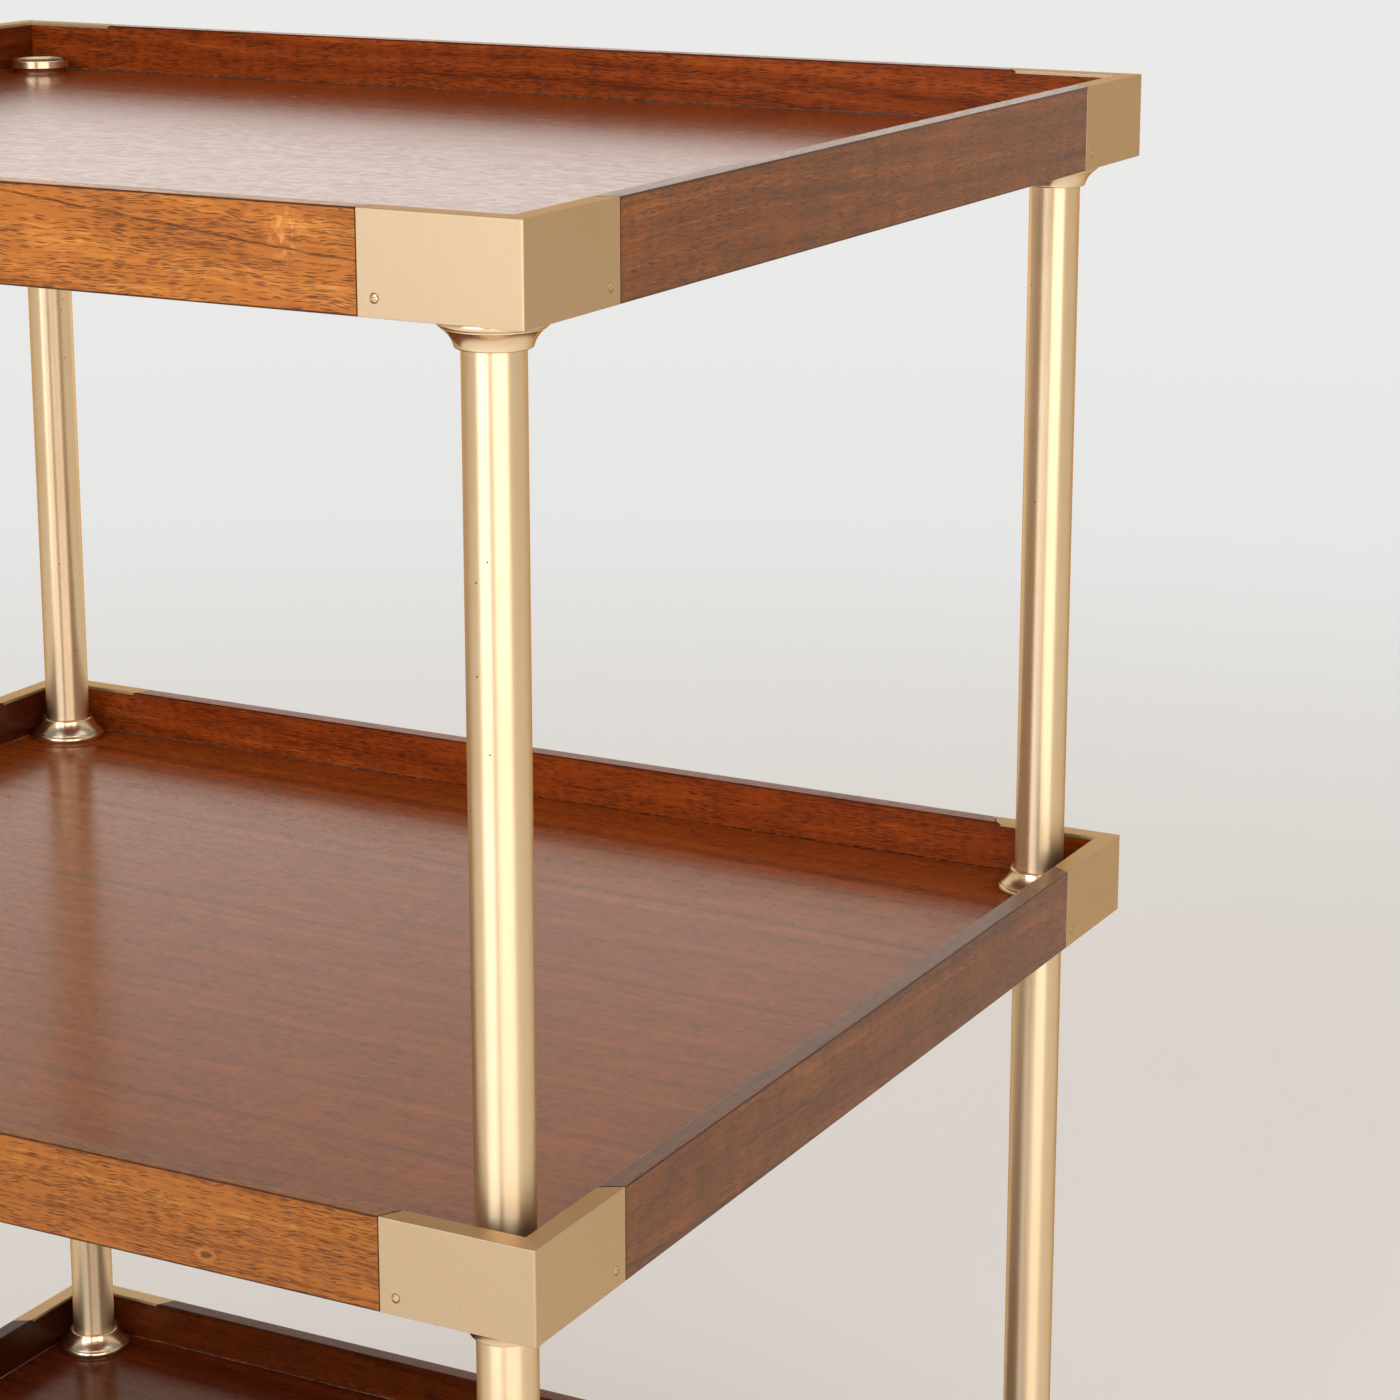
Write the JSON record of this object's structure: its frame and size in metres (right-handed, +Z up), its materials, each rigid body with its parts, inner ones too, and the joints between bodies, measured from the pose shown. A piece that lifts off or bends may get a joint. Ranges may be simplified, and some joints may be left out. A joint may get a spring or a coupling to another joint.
{
  "type": "tiered display shelf",
  "caption": "Free-standing tiered shelf: raised-rim wooden trays on round brass posts, with brass corner brackets, turned collars and levelling feet.",
  "frame": {"origin": "on the floor, under the middle of the trays", "axes": "+X along the trays' long side, +Y to the back, +Z up"},
  "size_m": [0.7, 0.61, 0.96],
  "materials": {
    "walnut": "toned semi-gloss lacquer over an open pore",
    "satin_brass": "satin brushed, lacquered",
    "rod_steel": "bright zinc plated",
    "glide_steel": "bright zinc plated",
    "glide_nylon": "moulded black nylon"
  },
  "bodies": {
    "frame": {"bottom_bracket_back_left": "satin_brass", "bottom_bracket_back_right": "satin_brass", "bottom_bracket_front_left": "satin_brass", "bottom_bracket_front_right": "satin_brass", "bottom_rail_back": "walnut", "bottom_rail_front": "walnut", "bottom_rail_left": "walnut", "bottom_rail_right": "walnut", "bottom_tray_collars": "satin_brass", "bottom_tray_floor": "walnut", "bracket_screws": "satin_brass", "cap_nuts": "satin_brass", "foot_sockets": "satin_brass", "leg_back_left": "satin_brass", "leg_back_right": "satin_brass", "leg_front_left": "satin_brass", "leg_front_right": "satin_brass", "lower_post_back_left": "satin_brass", "lower_post_back_right": "satin_brass", "lower_post_front_left": "satin_brass", "lower_post_front_right": "satin_brass", "middle_bracket_back_left": "satin_brass", "middle_bracket_back_right": "satin_brass", "middle_bracket_front_left": "satin_brass", "middle_bracket_front_right": "satin_brass", "middle_rail_back": "walnut", "middle_rail_front": "walnut", "middle_rail_left": "walnut", "middle_rail_right": "walnut", "middle_tray_collars": "satin_brass", "middle_tray_floor": "walnut", "tie_rod_back_left": "rod_steel", "tie_rod_back_right": "rod_steel", "tie_rod_front_left": "rod_steel", "tie_rod_front_right": "rod_steel", "top_bracket_back_left": "satin_brass", "top_bracket_back_right": "satin_brass", "top_bracket_front_left": "satin_brass", "top_bracket_front_right": "satin_brass", "top_rail_back": "walnut", "top_rail_front": "walnut", "top_rail_left": "walnut", "top_rail_right": "walnut", "top_tray_collars": "satin_brass", "top_tray_floor": "walnut", "upper_post_back_left": "satin_brass", "upper_post_back_right": "satin_brass", "upper_post_front_left": "satin_brass", "upper_post_front_right": "satin_brass"},
    "glide_front_right": {"glide_stem_front_right": "glide_steel", "glide_pad_front_right": "glide_nylon"},
    "glide_back_right": {"glide_stem_back_right": "glide_steel", "glide_pad_back_right": "glide_nylon"},
    "glide_back_left": {"glide_stem_back_left": "glide_steel", "glide_pad_back_left": "glide_nylon"},
    "glide_front_left": {"glide_stem_front_left": "glide_steel", "glide_pad_front_left": "glide_nylon"}
  },
  "joints": [
    {"name": "glide_front_right_rise", "type": "slide", "parent": "frame", "child": "glide_front_right", "axis": [0, 0, 1], "range_m": [0, 0.01]},
    {"name": "glide_back_right_rise", "type": "slide", "parent": "frame", "child": "glide_back_right", "axis": [0, 0, 1], "range_m": [0, 0.01]},
    {"name": "glide_back_left_rise", "type": "slide", "parent": "frame", "child": "glide_back_left", "axis": [0, 0, 1], "range_m": [0, 0.01]},
    {"name": "glide_front_left_rise", "type": "slide", "parent": "frame", "child": "glide_front_left", "axis": [0, 0, 1], "range_m": [0, 0.01]}
  ]
}
